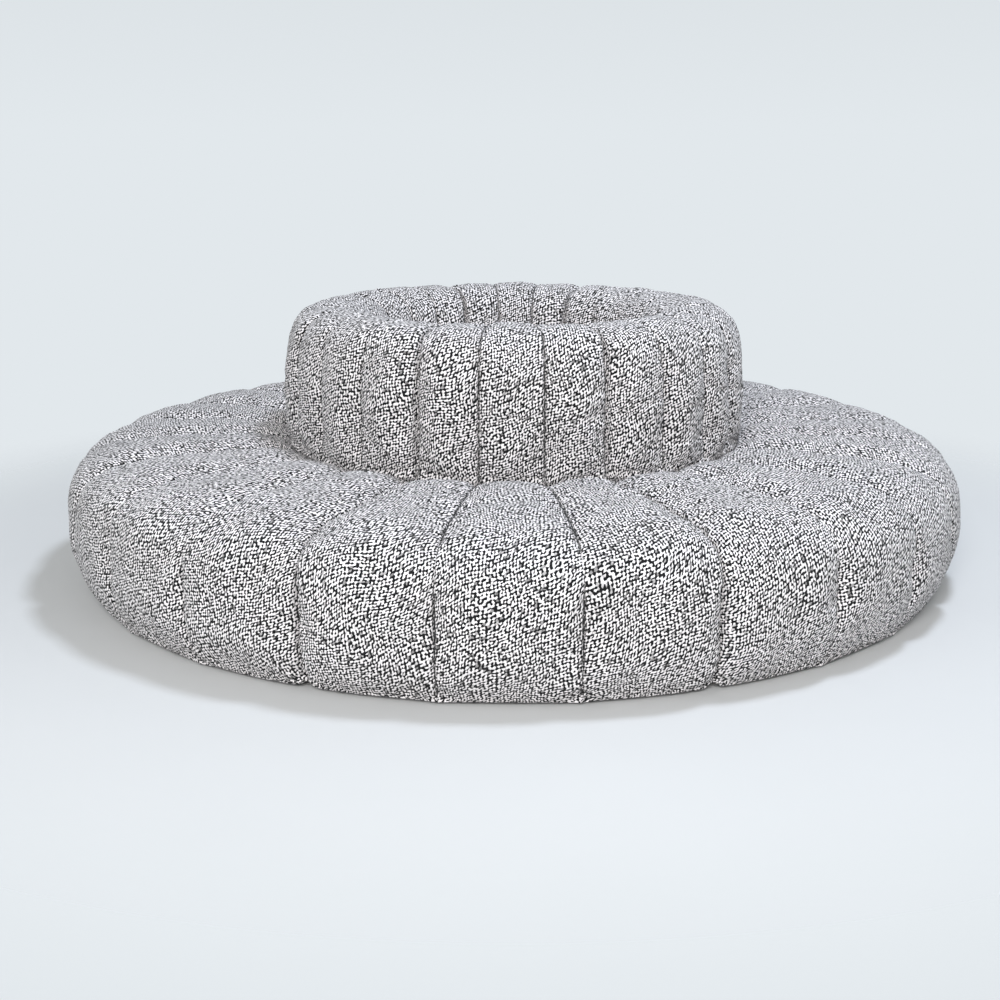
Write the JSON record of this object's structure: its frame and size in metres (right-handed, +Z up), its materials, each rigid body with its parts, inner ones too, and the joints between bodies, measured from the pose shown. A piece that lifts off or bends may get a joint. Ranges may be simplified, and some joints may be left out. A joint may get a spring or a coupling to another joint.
{
  "type": "modular sectional sofa",
  "caption": "Round outward-facing modular sofa: wedge modules with a channelled seat ring around a taller channelled back ring and an open centre well.",
  "frame": {"origin": "centre of the ring on the floor", "axes": "+Z up along the ring's axis; module 1 faces -Y, and the others follow anticlockwise seen from above"},
  "size_m": [2.506, 2.506, 0.75],
  "materials": {
    "seat_boucle": "speckled light grey boucle over foam, matt",
    "back_boucle": "speckled light grey boucle over foam, matt",
    "plywood": "bare birch plywood, sanded",
    "black_board": "black lacquered board, satin",
    "zinc_steel": "zinc plated, satin"
  },
  "bodies": {
    "module_1": {"seat_cushion_1": "seat_boucle", "back_cushion_1": "back_boucle", "seat_frame_1": "plywood", "back_frame_1": "plywood", "plinth_1": "black_board", "connector_tongue_1": "zinc_steel", "connector_keeper_1": "zinc_steel"},
    "module_2": {"seat_cushion_2": "seat_boucle", "back_cushion_2": "back_boucle", "seat_frame_2": "plywood", "back_frame_2": "plywood", "plinth_2": "black_board", "connector_tongue_2": "zinc_steel", "connector_keeper_2": "zinc_steel"},
    "module_3": {"seat_cushion_3": "seat_boucle", "back_cushion_3": "back_boucle", "seat_frame_3": "plywood", "back_frame_3": "plywood", "plinth_3": "black_board", "connector_tongue_3": "zinc_steel", "connector_keeper_3": "zinc_steel"},
    "module_4": {"seat_cushion_4": "seat_boucle", "back_cushion_4": "back_boucle", "seat_frame_4": "plywood", "back_frame_4": "plywood", "plinth_4": "black_board", "connector_tongue_4": "zinc_steel", "connector_keeper_4": "zinc_steel"},
    "module_5": {"seat_cushion_5": "seat_boucle", "back_cushion_5": "back_boucle", "seat_frame_5": "plywood", "back_frame_5": "plywood", "plinth_5": "black_board", "connector_tongue_5": "zinc_steel", "connector_keeper_5": "zinc_steel"},
    "module_6": {"seat_cushion_6": "seat_boucle", "back_cushion_6": "back_boucle", "seat_frame_6": "plywood", "back_frame_6": "plywood", "plinth_6": "black_board", "connector_tongue_6": "zinc_steel", "connector_keeper_6": "zinc_steel"},
    "module_7": {"seat_cushion_7": "seat_boucle", "back_cushion_7": "back_boucle", "seat_frame_7": "plywood", "back_frame_7": "plywood", "plinth_7": "black_board", "connector_tongue_7": "zinc_steel", "connector_keeper_7": "zinc_steel"},
    "module_8": {"seat_cushion_8": "seat_boucle", "back_cushion_8": "back_boucle", "seat_frame_8": "plywood", "back_frame_8": "plywood", "plinth_8": "black_board", "connector_tongue_8": "zinc_steel", "connector_keeper_8": "zinc_steel"}
  },
  "joints": [
    {"name": "module_2_pull_out", "type": "slide", "parent": "module_1", "child": "module_2", "axis": [0.7071, -0.7071, 0], "range_m": [0, 0.95]},
    {"name": "module_3_pull_out", "type": "slide", "parent": "module_1", "child": "module_3", "axis": [1, 0, 0], "range_m": [0, 0.95]},
    {"name": "module_4_pull_out", "type": "slide", "parent": "module_1", "child": "module_4", "axis": [0.7071, 0.7071, 0], "range_m": [0, 0.95]},
    {"name": "module_5_pull_out", "type": "slide", "parent": "module_1", "child": "module_5", "axis": [0, 1, 0], "range_m": [0, 0.95]},
    {"name": "module_6_pull_out", "type": "slide", "parent": "module_1", "child": "module_6", "axis": [-0.7071, 0.7071, 0], "range_m": [0, 0.95]},
    {"name": "module_7_pull_out", "type": "slide", "parent": "module_1", "child": "module_7", "axis": [-1, 0, 0], "range_m": [0, 0.95]},
    {"name": "module_8_pull_out", "type": "slide", "parent": "module_1", "child": "module_8", "axis": [-0.7071, -0.7071, 0], "range_m": [0, 0.95]}
  ]
}
